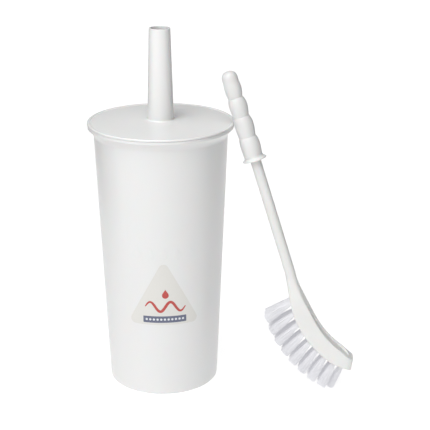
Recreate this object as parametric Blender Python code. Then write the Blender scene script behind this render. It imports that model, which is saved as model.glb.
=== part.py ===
"""Toilet brush set: a tapered canister, its lift-off lid, and its brush standing against the lid.

Metres, +Z up. The origin is on the canister's axis, in the plane of its flat base.
The brush is built in a frame of its own, held by the empty brush_pose: its origin is the free end
of the grip, -Z runs down the stem, +X is the back of the head and +Y is across the head.
"""

import math

import bmesh
import bpy
from mathutils import Matrix, Vector

MM = 0.001
GAP = 0.3 * MM

# Canister
BASE_RADIUS = 56.1 * MM
BASE_CORNER = 3.5 * MM
TAPER = 0.0427
WALL = 1.7 * MM
FLOOR = 2.2 * MM
FLARE_START = 257 * MM
FLARE_RADIUS = 18 * MM
FLARE_ANGLE = math.radians(46)
RIM_RADIUS = 73.3 * MM
RIM_TOP = 274.3 * MM
RIM_BAND = 3.3 * MM

# Lid and its grip tube
LID_RADIUS = 73.8 * MM
LID_UNDERSIDE = RIM_TOP + GAP
LID_PLATE = 1.7 * MM
BEAD_TOP = 276.9 * MM
BEAD_WIDTH = 3.2 * MM
DOME_EDGE = 276.2 * MM
DOME_RISE = 2.3 * MM
SKIRT_RADIUS = 65.8 * MM
SKIRT_DEPTH = 8 * MM
SKIRT_WALL = 1.5 * MM
TUBE_TOP = 370 * MM
TUBE_BASE_RADIUS = 13.4 * MM
TUBE_TOP_RADIUS = 10.7 * MM
TUBE_WALL = 1.7 * MM
TUBE_FILLET = 3.5 * MM

# Label, a rounded triangle wrapped round the canister's front
LABEL_BOTTOM = 80 * MM
LABEL_TOP = 146 * MM
LABEL_HALF_WIDTH = 35 * MM
LABEL_CORNER = 5 * MM
LABEL_THICKNESS = 0.25 * MM
LABEL_AZIMUTH = math.radians(-87)

# Where the brush stands
BRUSH_TOP = Vector((67.0, -7.6, 328.6)) * MM
BRUSH_YAW = math.radians(-16.6)
BRUSH_LEAN = math.radians(-18.0)
BRUSH_ROLL = math.radians(12.5)

# Grip: each swell runs from one waist to the next
GRIP_SHIFT = -0.5 * MM
GRIP_DOME = 9 * MM
GRIP_DOME_RADIUS = 8.1 * MM
GRIP_SWELLS = (
    # length, radius at the swell, radius at the waist that ends it
    (18.5 * MM, 8.6 * MM, 7.5 * MM),
    (19.5 * MM, 9.2 * MM, 8.2 * MM),
    (21.3 * MM, 9.5 * MM, 8.8 * MM),
    (20.0 * MM, 10.1 * MM, 9.4 * MM),
)
COLLAR_LENGTH = 4.3 * MM
COLLAR_RADIUS = 12.3 * MM
COLLAR_EDGE = 1.2 * MM
TANG_RADIUS = 4.2 * MM
TANG_END = 24 * MM

# Stem and head: one moulding, on a straight line and then a Bezier curve
STEM_HALF_THICK = 5.3 * MM
STEM_HALF_WIDTH = 6.0 * MM
STEM_CORNER = 4.6 * MM
HEAD_START = 215 * MM
HEAD_BEND = 263.5 * MM
HEAD_BEND_SET = -4.2 * MM
HEAD_CURL = 301 * MM
HEAD_CURL_SET = 4 * MM
HEAD_END = 326 * MM
HEAD_END_SET = 33.9 * MM
HEAD_END_TURN = math.radians(13)
HEAD_END_TURN_FROM = 0.86
HEAD_HALF_WIDTH = 12 * MM
HEAD_WIDENS_BY = 0.22
HEAD_CORNER = 1.6 * MM
HEAD_END_HALF_WIDTH = 7.5 * MM
HEAD_ROUNDING_FROM = 0.92
HEAD_HALF_THICK = ((0.0, STEM_HALF_THICK), (0.4, 8.9 * MM), (0.8, 8.5 * MM), (1.0, 6.1 * MM))
HEAD_STEPS = 22
POCKET_DEPTH = 2.4 * MM
POCKET_RIM = 2.3 * MM
POCKET_FROM = 0.3
POCKET_TO = 0.9

# Tufts, in rows of three down the head and one more at its end
TUFT_ROWS = 8
TUFT_FIRST = 0.215
TUFT_LAST = 0.855
END_TUFT = 0.935
TUFT_ACROSS = 7.3 * MM
TUFT_FIRST_ANGLE = math.radians(73)
TUFT_LAST_ANGLE = math.radians(45)
END_TUFT_ANGLE = math.radians(47)
TUFT_SPLAY = math.radians(6)
TUFT_FIRST_LENGTH = 30 * MM
TUFT_LAST_LENGTH = 27 * MM
END_TUFT_LENGTH = 27.6 * MM
TUFT_ROOT_RADIUS = 2.5 * MM
TUFT_TIP_RADIUS = 3.4 * MM
TUFT_SIDES = 10
HOLE_DEPTH = 8 * MM
ANCHOR_SIZE = Vector((4.2, 0.5, 1.6)) * MM

ROUND_STEPS = 64


def clear_scene():
    for old in list(bpy.data.objects):
        bpy.data.objects.remove(old)


def material(name, colour, roughness, metallic=0.0):
    made = bpy.data.materials.new(name)
    made.use_nodes = True
    shader = made.node_tree.nodes["Principled BSDF"]
    shader.inputs["Base Color"].default_value = (*colour, 1.0)
    shader.inputs["Roughness"].default_value = roughness
    shader.inputs["Metallic"].default_value = metallic
    return made


def mesh_from(bm, name, smooth=True):
    bmesh.ops.recalc_face_normals(bm, faces=bm.faces)
    mesh = bpy.data.meshes.new(name)
    bm.to_mesh(mesh)
    bm.free()
    if smooth:
        mesh.shade_smooth()
        mesh.set_sharp_from_angle(angle=math.radians(35))
    return mesh


def place(name, mesh, finish, parent=None, matrix=None):
    made = bpy.data.objects.new(name, mesh)
    bpy.context.scene.collection.objects.link(made)
    if not mesh.materials:
        mesh.materials.append(finish)
    made.parent = parent
    if matrix is not None:
        made.matrix_local = matrix
    return made


def arc(centre_r, centre_z, radius, start, end, steps):
    """Points (r, z) of an arc, with its angles in degrees from +r towards +z."""
    angles = [math.radians(start + (end - start) * i / steps) for i in range(steps + 1)]
    return [(centre_r + radius * math.cos(a), centre_z + radius * math.sin(a)) for a in angles]


def turned(profile, steps=ROUND_STEPS, closed=False):
    """A solid turned about Z from (r, z) points. A point with r = 0 is one vertex on the axis."""
    bm = bmesh.new()
    rings = []
    for r, z in profile:
        if r == 0:
            rings.append([bm.verts.new((0, 0, z))])
            continue
        angles = [2 * math.pi * i / steps for i in range(steps)]
        rings.append([bm.verts.new((r * math.cos(a), r * math.sin(a), z)) for a in angles])
    pairs = list(zip(rings, rings[1:]))
    if closed:
        pairs.append((rings[-1], rings[0]))
    for low, high in pairs:
        for i in range(steps):
            j = (i + 1) % steps
            corners = [low[i % len(low)], low[j % len(low)], high[j % len(high)], high[i % len(high)]]
            bm.faces.new(list(dict.fromkeys(corners)))
    return bm


def blend(x):
    """0 to 1, with a level start and end."""
    x = min(max(x, 0.0), 1.0)
    return x * x * (3 - 2 * x)


def eased(stations, x):
    """The value at x between (x, value) stations, eased from each to the next."""
    for (x0, v0), (x1, v1) in zip(stations, stations[1:]):
        if x <= x1:
            return v0 + (v1 - v0) * blend((x - x0) / (x1 - x0))
    return stations[-1][1]


# Canister


def wall_radius(z):
    return BASE_RADIUS + TAPER * z


def canister_profile():
    corner_r = wall_radius(BASE_CORNER) - BASE_CORNER
    outside = [(0, 0)] + arc(corner_r, BASE_CORNER, BASE_CORNER, -90, 0, 5)
    outside += [(wall_radius(z), z) for z in (60 * MM, 150 * MM)]
    flare_centre = wall_radius(FLARE_START) + FLARE_RADIUS
    turn = 180 - math.degrees(FLARE_ANGLE)
    outside += arc(flare_centre, FLARE_START, FLARE_RADIUS, 180, turn, 6)
    lip = 0.5 * MM
    outside += [(RIM_RADIUS, RIM_TOP - RIM_BAND), (RIM_RADIUS, RIM_TOP - lip), (RIM_RADIUS - lip, RIM_TOP)]
    inside = [(RIM_RADIUS - WALL, RIM_TOP)]
    inside += arc(flare_centre, FLARE_START, FLARE_RADIUS + WALL, turn, 180, 6)
    inside += [(wall_radius(z) - WALL, z) for z in (150 * MM, 60 * MM)]
    floor_corner = 2.5 * MM
    corner_r = wall_radius(FLOOR) - WALL - floor_corner
    inside += arc(corner_r, FLOOR + floor_corner, floor_corner, 0, -90, 4)
    return outside + inside + [(0, FLOOR)]


def label_outline(steps=6):
    """(across, up) points of the rounded triangle, anticlockwise from its right-hand corner."""
    reach = LABEL_HALF_WIDTH - LABEL_CORNER
    low = LABEL_BOTTOM + LABEL_CORNER
    apex = LABEL_TOP - LABEL_CORNER
    # The direction that the right-hand side faces.
    side = math.pi / 2 - math.atan2(apex - low, reach)
    centres = (
        ((reach, low), -math.pi / 2, side),
        ((0, apex), side, math.pi - side),
        ((-reach, low), math.pi - side, 1.5 * math.pi),
    )
    points = []
    for (x, y), start, end in centres:
        for i in range(steps + 1):
            a = start + (end - start) * i / steps
            points.append((x + LABEL_CORNER * math.cos(a), y + LABEL_CORNER * math.sin(a)))
    return points


def label_mesh():
    """The outline cut into upright strips, so that it follows the wall, and given its thickness."""
    bm = bmesh.new()
    verts = [bm.verts.new((x, z, 0)) for x, z in label_outline()]
    bm.faces.new(verts)
    strip = 4 * MM
    count = int(LABEL_HALF_WIDTH / strip)
    for i in range(-count, count + 1):
        bmesh.ops.bisect_plane(
            bm,
            geom=bm.verts[:] + bm.edges[:] + bm.faces[:],
            plane_co=(i * strip, 0, 0),
            plane_no=(1, 0, 0),
        )
    back = bm.faces[:]
    raised = bmesh.ops.extrude_face_region(bm, geom=back, use_keep_orig=True)
    front = [v for v in raised["geom"] if isinstance(v, bmesh.types.BMVert)]
    for v in front:
        v.co.z = LABEL_THICKNESS
    for v in bm.verts:
        x, z, depth = v.co
        radius = wall_radius(z) + GAP + depth
        angle = LABEL_AZIMUTH + x / wall_radius(z)
        v.co = (radius * math.cos(angle), radius * math.sin(angle), z)
    bmesh.ops.triangulate(bm, faces=bm.faces)
    return mesh_from(bm, "label", smooth=False)


# Lid


def lid_profile():
    tube_height = TUBE_TOP - LID_UNDERSIDE
    slope = (TUBE_BASE_RADIUS - TUBE_TOP_RADIUS) / tube_height
    dome_from = TUBE_BASE_RADIUS + TUBE_FILLET
    dome_to = LID_RADIUS - BEAD_WIDTH - 1 * MM

    def tube_radius(z):
        return TUBE_TOP_RADIUS + slope * (TUBE_TOP - z)

    def dome(r):
        x = max(r - dome_from, 0) / (dome_to - dome_from)
        return DOME_EDGE + DOME_RISE * (1 - x * x)

    edge = 0.5 * MM
    tube = [(TUBE_TOP_RADIUS - TUBE_WALL + edge, TUBE_TOP), (TUBE_TOP_RADIUS - edge, TUBE_TOP)]
    tube += [(TUBE_TOP_RADIUS, TUBE_TOP - edge), (tube_radius(320 * MM), 320 * MM)]
    fillet_z = dome(0) + TUBE_FILLET
    fillet = arc(tube_radius(fillet_z) + TUBE_FILLET, fillet_z, TUBE_FILLET, 180, 270, 5)
    radii = [dome_from + (dome_to - dome_from) * i / 6 for i in range(1, 7)]
    plate = [(r, dome(r)) for r in radii]
    bead_radius = 1.1 * MM
    bead = arc(LID_RADIUS - bead_radius, BEAD_TOP - bead_radius, bead_radius, 90, 0, 4)
    rim = [(LID_RADIUS - BEAD_WIDTH, BEAD_TOP), *bead]
    rim += [(LID_RADIUS, LID_UNDERSIDE + edge), (LID_RADIUS - edge, LID_UNDERSIDE)]
    skirt_foot = LID_UNDERSIDE - SKIRT_DEPTH
    skirt_inner = SKIRT_RADIUS - SKIRT_WALL
    skirt = [(SKIRT_RADIUS + 0.8 * MM, LID_UNDERSIDE), (SKIRT_RADIUS, LID_UNDERSIDE - 0.8 * MM)]
    skirt += [(SKIRT_RADIUS - edge, skirt_foot), (skirt_inner, skirt_foot)]
    skirt += [(skirt_inner, dome(skirt_inner) - LID_PLATE)]
    under = [(r, dome(r) - LID_PLATE) for r in (50 * MM, 35 * MM)]
    under += [(dome_from, dome(dome_from) - LID_PLATE)]
    bore_foot = dome(0) + edge
    bore = [(tube_radius(bore_foot) - TUBE_WALL, bore_foot), (tube_radius(320 * MM) - TUBE_WALL, 320 * MM)]
    bore += [(TUBE_TOP_RADIUS - TUBE_WALL, TUBE_TOP - edge)]
    return tube + fillet + plate + rim + skirt + under + bore


# Brush


def brush_frame():
    made = bpy.data.objects.new("brush_pose", None)
    bpy.context.scene.collection.objects.link(made)
    turn = Matrix.Rotation(BRUSH_YAW, 4, "Z") @ Matrix.Rotation(BRUSH_LEAN, 4, "Y")
    made.matrix_world = Matrix.Translation(BRUSH_TOP) @ turn @ Matrix.Rotation(BRUSH_ROLL, 4, "Z")
    return made


def grip_length():
    return GRIP_DOME + sum(length for length, _, _ in GRIP_SWELLS) + COLLAR_LENGTH


def grip_profile(steps=7):
    """Dome, swells and flared collar down the outside, then back up the bore for the tang."""
    points = [(0, 0)]
    for i in range(1, 7):
        a = math.pi / 2 * i / 6
        # A squarish dome: its top is flatter than a half circle.
        points.append((GRIP_DOME_RADIUS * math.sin(a) ** 0.8, -GRIP_DOME * (1 - math.cos(a) ** 0.8)))
    depth = GRIP_DOME
    waist = GRIP_DOME_RADIUS
    for length, swell, next_waist in GRIP_SWELLS:
        for i in range(1, steps + 1):
            x = i / steps
            straight = waist + (next_waist - waist) * x
            bulge = math.sin(math.pi * x**0.85)
            points.append((straight + (swell - straight) * bulge, -(depth + length * x)))
        depth += length
        waist = next_waist
    end = grip_length()
    points += [(waist + 0.6 * MM, -(depth + 1.4 * MM)), (COLLAR_RADIUS - 0.7 * MM, -(end - COLLAR_EDGE))]
    points += [(COLLAR_RADIUS, -(end - COLLAR_EDGE / 2)), (COLLAR_RADIUS - 0.5 * MM, -end)]
    bore = TANG_RADIUS + GAP
    points += [(bore, -end), (bore, -(TANG_END - GAP)), (0, -(TANG_END - GAP))]
    return points


def grip_mesh():
    """The turned grip: its outside is set a little towards the bristles, and its bore stays on the axis."""
    bm = turned(grip_profile(), 32)
    for v in bm.verts:
        in_bore = v.co.xy.length < TANG_RADIUS + 2 * GAP and v.co.z < -GRIP_DOME
        if not in_bore:
            v.co.x += GRIP_SHIFT
    return mesh_from(bm, "brush_grip")


def head_point(t):
    """(set, down) of the head's centre line and the unit vector along it, at t from 0 to 1."""
    nodes = (
        Vector((0, HEAD_START)),
        Vector((HEAD_BEND_SET, HEAD_BEND)),
        Vector((HEAD_CURL_SET, HEAD_CURL)),
        Vector((HEAD_END_SET, HEAD_END)),
    )
    s = 1 - t
    weights = (s**3, 3 * s * s * t, 3 * s * t * t, t**3)
    point = sum((w * p for w, p in zip(weights, nodes)), Vector((0, 0)))
    slopes = (s * s, 2 * s * t, t * t)
    along = sum((w * (b - a) for w, a, b in zip(slopes, nodes, nodes[1:])), Vector((0, 0)))
    return point, along.normalized()


def head_frame(t, across=0.0):
    """Matrix at the head's centre line: X to its back, Y across, -Z along it."""
    point, along = head_point(t)
    down = Vector((along.x, 0, -along.y))
    back = Vector((0, 1, 0)).cross(-down)
    turn = Matrix((back, (0, 1, 0), -down)).transposed().to_4x4()
    return Matrix.Translation((point.x, across, -point.y)) @ turn


def head_half_width(t):
    widen = STEM_HALF_WIDTH + (HEAD_HALF_WIDTH - STEM_HALF_WIDTH) * blend(t / HEAD_WIDENS_BY)
    x = max(t - HEAD_ROUNDING_FROM, 0) / (1 - HEAD_ROUNDING_FROM)
    rounding = math.sqrt(max(1 - x * x, 0))
    return HEAD_END_HALF_WIDTH + (widen - HEAD_END_HALF_WIDTH) * rounding


def rounded_section(half_x, half_y, corner, steps=4):
    """(x, y) points of a rectangle with round corners."""
    corner = min(corner, half_x, half_y)
    points = []
    for quarter, (sx, sy) in enumerate(((1, 1), (-1, 1), (-1, -1), (1, -1))):
        for i in range(steps + 1):
            a = math.pi / 2 * (quarter + i / steps)
            x = sx * (half_x - corner) + corner * math.cos(a)
            points.append((x, sy * (half_y - corner) + corner * math.sin(a)))
    return points


def lofted(sections):
    """A solid through (matrix, points) sections, closed at both ends."""
    bm = bmesh.new()
    rings = []
    for matrix, points in sections:
        rings.append([bm.verts.new(matrix @ Vector((x, y, 0))) for x, y in points])
    count = len(rings[0])
    for low, high in zip(rings, rings[1:]):
        for i in range(count):
            j = (i + 1) % count
            bm.faces.new((low[i], low[j], high[j], high[i]))
    bm.faces.new(rings[0])
    bm.faces.new(rings[-1])
    bmesh.ops.remove_doubles(bm, verts=bm.verts, dist=0.001 * MM)
    return bm


def handle_sections():
    """Tang inside the grip, stem, and head, from the top down."""
    tang = rounded_section(TANG_RADIUS, TANG_RADIUS, TANG_RADIUS)
    stem = rounded_section(STEM_HALF_THICK, STEM_HALF_WIDTH, STEM_CORNER)
    shoulder = grip_length() + GAP
    sections = [
        (Matrix.Translation((0, 0, -TANG_END)), tang),
        (Matrix.Translation((0, 0, -shoulder)), tang),
        (Matrix.Translation((0, 0, -shoulder)), stem),
    ]
    for i in range(HEAD_STEPS + 1):
        x = i / HEAD_STEPS
        # More sections where the end rounds off.
        t = x if x < 0.8 else 0.8 + 0.2 * math.sin(math.pi / 2 * (x - 0.8) / 0.2)
        corner = STEM_CORNER + (HEAD_CORNER - STEM_CORNER) * blend(t / 0.3)
        # The last sections turn, so that the end face stands steeper than the curve leaves it.
        turn = HEAD_END_TURN * blend((t - HEAD_END_TURN_FROM) / (1 - HEAD_END_TURN_FROM))
        matrix = head_frame(t) @ Matrix.Rotation(-turn, 4, "Y")
        sections.append((matrix, rounded_section(eased(HEAD_HALF_THICK, t), head_half_width(t), corner)))
    return sections


def pocket_sections():
    """The cutter that hollows the back of the head, inside its rim."""
    sections = []
    for i in range(13):
        x = i / 12
        t = POCKET_FROM + (POCKET_TO - POCKET_FROM) * x
        round_off = math.sqrt(max(1 - abs(2 * x - 1) ** 6, 0.05))
        half_width = (head_half_width(t) - POCKET_RIM) * round_off
        floor = eased(HEAD_HALF_THICK, t) - POCKET_DEPTH
        outer = floor + 3 * POCKET_DEPTH
        half_depth = (outer - floor) / 2
        shift = Matrix.Translation(((outer + floor) / 2, 0, 0))
        sections.append((head_frame(t) @ shift, rounded_section(half_depth, half_width, 0.8 * MM)))
    return sections


def tuft_length(row):
    if row == TUFT_ROWS:
        return END_TUFT_LENGTH
    return TUFT_FIRST_LENGTH + (TUFT_LAST_LENGTH - TUFT_FIRST_LENGTH) * row / (TUFT_ROWS - 1)


def tuft_places():
    """(row, name, matrix) of each tuft: its origin on the bristle face, and +Z out along the bristles."""
    places = []
    spots = [(TUFT_FIRST + (TUFT_LAST - TUFT_FIRST) * i / (TUFT_ROWS - 1), i) for i in range(TUFT_ROWS)]
    for t, row in spots + [(END_TUFT, TUFT_ROWS)]:
        angle = TUFT_FIRST_ANGLE + (TUFT_LAST_ANGLE - TUFT_FIRST_ANGLE) * row / (TUFT_ROWS - 1)
        if row == TUFT_ROWS:
            angle = END_TUFT_ANGLE
        out = Vector((-math.sin(angle), 0, -math.cos(angle)))
        columns = (("b", 0),) if row == TUFT_ROWS else (("a", -1), ("b", 0), ("c", 1))
        for letter, side in columns:
            root = head_frame(t, side * TUFT_ACROSS) @ Vector((-eased(HEAD_HALF_THICK, t), 0, 0))
            splayed = (out + Vector((0, side * math.tan(TUFT_SPLAY), 0))).normalized()
            y = splayed.cross(Vector((1, 0, 0))).normalized()
            turn = Matrix((y.cross(splayed), y, splayed)).transposed().to_4x4()
            places.append((row, f"{row + 1}{letter}", Matrix.Translation(root) @ turn))
    return places


def tuft_mesh(length):
    """The folded bundle of bristles, with the opening in its fold that the anchor passes through."""
    root = -(HOLE_DEPTH - GAP)
    profile = [(0, root), (TUFT_ROOT_RADIUS, root), (TUFT_ROOT_RADIUS, 0.5 * MM)]
    profile += [(TUFT_TIP_RADIUS, length), (0, length)]
    tuft = place("tuft_shape", mesh_from(turned(profile, TUFT_SIDES), "tuft"), BRISTLE)
    opening = anchor_block("tuft_opening", ANCHOR_SIZE + Vector((6 * MM, 2 * GAP, 2 * GAP)))
    return cut(tuft, [opening])


def anchor_block(name, size):
    bm = bmesh.new()
    bmesh.ops.create_cube(bm, size=1)
    bmesh.ops.scale(bm, vec=size, verts=bm.verts)
    middle = -(HOLE_DEPTH - 2.4 * MM)
    bmesh.ops.translate(bm, vec=(0, 0, middle), verts=bm.verts)
    return place(name, mesh_from(bm, name, smooth=False), ANCHOR_METAL)


def cut(target, cutters):
    """The mesh of target after its cutters are taken from it. All of them are removed."""
    for cutter in cutters:
        boolean = target.modifiers.new(cutter.name, "BOOLEAN")
        boolean.operation = "DIFFERENCE"
        boolean.solver = "EXACT"
        boolean.object = cutter
    bpy.context.view_layer.update()
    graph = bpy.context.evaluated_depsgraph_get()
    mesh = bpy.data.meshes.new_from_object(target.evaluated_get(graph))
    mesh.name = target.name
    for used in [target, *cutters]:
        bpy.data.objects.remove(used)
    return mesh


def handle_mesh(places):
    cutters = [place("pocket", mesh_from(lofted(pocket_sections()), "pocket"), WHITE_MOULDING)]
    radius = TUFT_ROOT_RADIUS + GAP
    above = 3 * MM
    hole = [(0, -HOLE_DEPTH), (radius, -HOLE_DEPTH), (radius, above), (0, above)]
    shared = mesh_from(turned(hole, TUFT_SIDES), "hole")
    cutters += [place(f"hole_{name}", shared, WHITE_MOULDING, matrix=matrix) for _, name, matrix in places]
    body = place("handle_shape", mesh_from(lofted(handle_sections()), "brush_handle"), WHITE_MOULDING)
    return cut(body, cutters)


def build_holder():
    place("canister", mesh_from(turned(canister_profile()), "canister"), CANISTER_PLASTIC)
    place("lid", mesh_from(turned(lid_profile(), closed=True), "lid"), LID_PLASTIC)
    place("label", label_mesh(), LABEL_FILM)


def build_brush():
    frame = brush_frame()
    place("brush_grip", grip_mesh(), GRIP_PLASTIC, frame)
    places = tuft_places()
    place("brush_handle", handle_mesh(places), WHITE_MOULDING, frame)
    tufts = [tuft_mesh(tuft_length(row)) for row in range(TUFT_ROWS + 1)]
    anchor = anchor_block("anchor_shape", ANCHOR_SIZE)
    for row, name, matrix in places:
        place(f"tuft_{name}", tufts[row], BRISTLE, frame, matrix)
        place(f"anchor_{name}", anchor.data, ANCHOR_METAL, frame, matrix)
    bpy.data.objects.remove(anchor)


clear_scene()
CANISTER_PLASTIC = material("canister_plastic", (0.82, 0.82, 0.81), 0.25)
LID_PLASTIC = material("lid_plastic", (0.81, 0.81, 0.80), 0.22)
LABEL_FILM = material("label_film", (0.75, 0.74, 0.70), 0.45)
GRIP_PLASTIC = material("grip_plastic", (0.80, 0.80, 0.78), 0.35)
WHITE_MOULDING = material("white_moulding", (0.78, 0.78, 0.76), 0.38)
BRISTLE = material("bristle_nylon", (0.78, 0.78, 0.81), 0.45)
ANCHOR_METAL = material("anchor_metal", (0.60, 0.58, 0.52), 0.35, 1.0)
build_holder()
build_brush()
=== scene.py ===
"""A white toilet brush set: canister, lift-off lid, and a brush that leans on the lid's edge.

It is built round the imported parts. Metres. +Z is up, the canister stands on the origin, and the
brush leans on its +X side.
"""

import math
import random

import bmesh
import bpy
from mathutils import Matrix, Vector


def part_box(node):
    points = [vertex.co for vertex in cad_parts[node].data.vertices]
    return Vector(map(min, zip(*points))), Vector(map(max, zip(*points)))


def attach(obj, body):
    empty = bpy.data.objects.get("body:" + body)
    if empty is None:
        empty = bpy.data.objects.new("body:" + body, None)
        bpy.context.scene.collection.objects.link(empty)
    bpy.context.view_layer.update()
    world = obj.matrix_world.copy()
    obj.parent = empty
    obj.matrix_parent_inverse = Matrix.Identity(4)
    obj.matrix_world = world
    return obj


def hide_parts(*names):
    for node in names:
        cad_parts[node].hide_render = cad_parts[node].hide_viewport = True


MM = 0.001

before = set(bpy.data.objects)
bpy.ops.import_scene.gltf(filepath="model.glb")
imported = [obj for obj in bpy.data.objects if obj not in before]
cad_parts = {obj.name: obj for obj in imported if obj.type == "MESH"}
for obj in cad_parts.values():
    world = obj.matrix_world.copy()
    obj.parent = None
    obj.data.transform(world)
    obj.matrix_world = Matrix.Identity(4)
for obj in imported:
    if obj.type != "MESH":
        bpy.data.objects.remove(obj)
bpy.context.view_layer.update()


# Modelling helpers


def start(name):
    """Names the primitive that was just added."""
    piece = bpy.context.object
    piece.name = name
    piece.data.name = name
    return piece


def deselect():
    bpy.ops.object.select_all(action="DESELECT")


def edit():
    bpy.ops.object.mode_set(mode="EDIT")


def leave():
    bpy.ops.object.mode_set(mode="OBJECT")


def close_up(threshold=1e-7):
    """Merges what meets, and turns every face outwards."""
    bpy.ops.mesh.select_all(action="SELECT")
    bpy.ops.mesh.remove_doubles(threshold=threshold)
    bpy.ops.mesh.normals_make_consistent(inside=False)


def smooth(piece, angle=35):
    deselect()
    piece.select_set(True)
    bpy.context.view_layer.objects.active = piece
    bpy.ops.object.shade_smooth_by_angle(angle=math.radians(angle))


def set_down(piece, matrix=None):
    """Puts the piece at its place by its mesh, and leaves the object at the origin."""
    deselect()
    piece.select_set(True)
    bpy.context.view_layer.objects.active = piece
    if matrix is not None:
        piece.matrix_world = matrix @ piece.matrix_world
    bpy.ops.object.transform_apply(location=True, rotation=True, scale=True)


def drawn(name, points):
    """A line drawn from one vertex, extruded from point to point. Left in edit mode."""
    deselect()
    bpy.ops.mesh.primitive_plane_add(size=1 * MM)
    piece = start(name)
    edit()
    bpy.ops.mesh.merge(type="CENTER")
    bpy.ops.transform.translate(value=points[0])
    for here, there in zip(points, points[1:]):
        step = [b - a for a, b in zip(here, there)]
        bpy.ops.mesh.extrude_region_move(TRANSFORM_OT_translate={"value": step})
    return piece


def turned(name, profile, steps, angle=14):
    """A solid spun about Z from (r, z) points drawn in the XZ plane."""
    piece = drawn(name, [(r, 0, z) for r, z in profile])
    bpy.ops.mesh.select_all(action="SELECT")
    bpy.ops.mesh.spin(steps=steps, angle=2 * math.pi, center=(0, 0, 0), axis=(0, 0, 1))
    close_up(threshold=1e-6)
    leave()
    smooth(piece, angle)
    return piece


def lofted(name, rings):
    """A solid whose round is extruded ring by ring, each ring then set to its section."""
    count = len(rings[0])
    deselect()
    bpy.ops.mesh.primitive_circle_add(vertices=count, radius=1 * MM, fill_type="NGON")
    piece = start(name)
    edit()
    mesh = bmesh.from_edit_mesh(piece.data)
    order = mesh.verts.layers.int.new("order")
    for k, vert in enumerate(mesh.verts):
        vert[order] = k
    for i, ring in enumerate(rings):
        if i:
            bpy.ops.mesh.extrude_region_move()
        mesh = bmesh.from_edit_mesh(piece.data)
        order = mesh.verts.layers.int["order"]
        for vert in mesh.verts:
            if vert.select:
                vert.co = ring[vert[order]]
        bmesh.update_edit_mesh(piece.data)
    close_up()
    leave()
    piece.data.attributes.remove(piece.data.attributes["order"])
    smooth(piece)
    return piece


def arc(centre_r, centre_z, radius, begin, end, steps):
    """Points (r, z) of an arc, with its angles in degrees from +r towards +z."""
    angles = [math.radians(begin + (end - begin) * i / steps) for i in range(steps + 1)]
    return [(centre_r + radius * math.cos(a), centre_z + radius * math.sin(a)) for a in angles]


def blend(x):
    """0 to 1, with a level start and end."""
    x = min(max(x, 0.0), 1.0)
    return x * x * (3 - 2 * x)


def eased(stations, x):
    """The value at x between (x, value) stations, eased from each to the next."""
    for (x0, v0), (x1, v1) in zip(stations, stations[1:]):
        if x <= x1:
            return v0 + (v1 - v0) * blend((x - x0) / (x1 - x0))
    return stations[-1][1]


def joined(name, pieces):
    deselect()
    for piece in pieces:
        piece.select_set(True)
    bpy.context.view_layer.objects.active = pieces[0]
    bpy.ops.object.join()
    whole = bpy.context.object
    whole.name = name
    whole.data.name = name
    return whole


# Finishes


def node(tree, kind, place=(0, 0), **settings):
    """A new node, at its place in the tree's drawing."""
    made = tree.nodes.new(kind)
    made.location = place
    for key, value in settings.items():
        setattr(made, key, value)
    return made


def feed(tree, target, values):
    """Links or sets the target's inputs, given as {input: socket or plain value}."""
    for key, value in values.items():
        if isinstance(value, bpy.types.NodeSocket):
            tree.links.new(value, target.inputs[key])
        else:
            target.inputs[key].default_value = value


def effect(name, inputs, outputs):
    """An empty shader group with its inputs (name, kind, default) and outputs (name, kind)."""
    group = bpy.data.node_groups.new(name, "ShaderNodeTree")
    for title, kind, default in inputs:
        socket = group.interface.new_socket(title, in_out="INPUT", socket_type=f"NodeSocket{kind}")
        socket.default_value = default
    for title, kind in outputs:
        group.interface.new_socket(title, in_out="OUTPUT", socket_type=f"NodeSocket{kind}")
    source = node(group, "NodeGroupInput", (-900, 0))
    sink = node(group, "NodeGroupOutput", (700, 0))
    return group, source.outputs, sink


# A mix node's sockets that belong to colours.
MIX_AMOUNT = 0
MIX_FIRST = 6
MIX_SECOND = 7
MIX_RESULT = 2


def mixed(tree, first, second, amount, place):
    """A colour mix node. Each of the three is a socket or a plain value."""
    mix = node(tree, "ShaderNodeMix", place, data_type="RGBA")
    feed(tree, mix, {MIX_FIRST: first, MIX_SECOND: second, MIX_AMOUNT: amount})
    return mix.outputs[MIX_RESULT]


def spread(tree, value, low, high, place):
    """A value from 0 to 1 mapped to low to high."""
    made = node(tree, "ShaderNodeMapRange", place)
    feed(tree, made, {"Value": value, "To Min": low, "To Max": high})
    return made.outputs["Result"]


def ramped(tree, value, low, high, place):
    """0 where the value is under low, 1 over high, and a straight rise between them."""
    made = node(tree, "ShaderNodeMapRange", place)
    feed(tree, made, {"Value": value, "From Min": low, "From Max": high})
    return made.outputs["Result"]


def noise(tree, vector, scale, detail, place):
    made = node(tree, "ShaderNodeTexNoise", place)
    feed(tree, made, {"Vector": vector, "Scale": scale, "Detail": detail})
    return made.outputs["Fac"]


def stretched(tree, vector, scale, turn, place):
    """The vector scaled along each axis, then turned by angles in radians."""
    made = node(tree, "ShaderNodeMapping", place)
    feed(tree, made, {"Vector": vector, "Scale": scale, "Rotation": turn})
    return made.outputs["Vector"]


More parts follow.
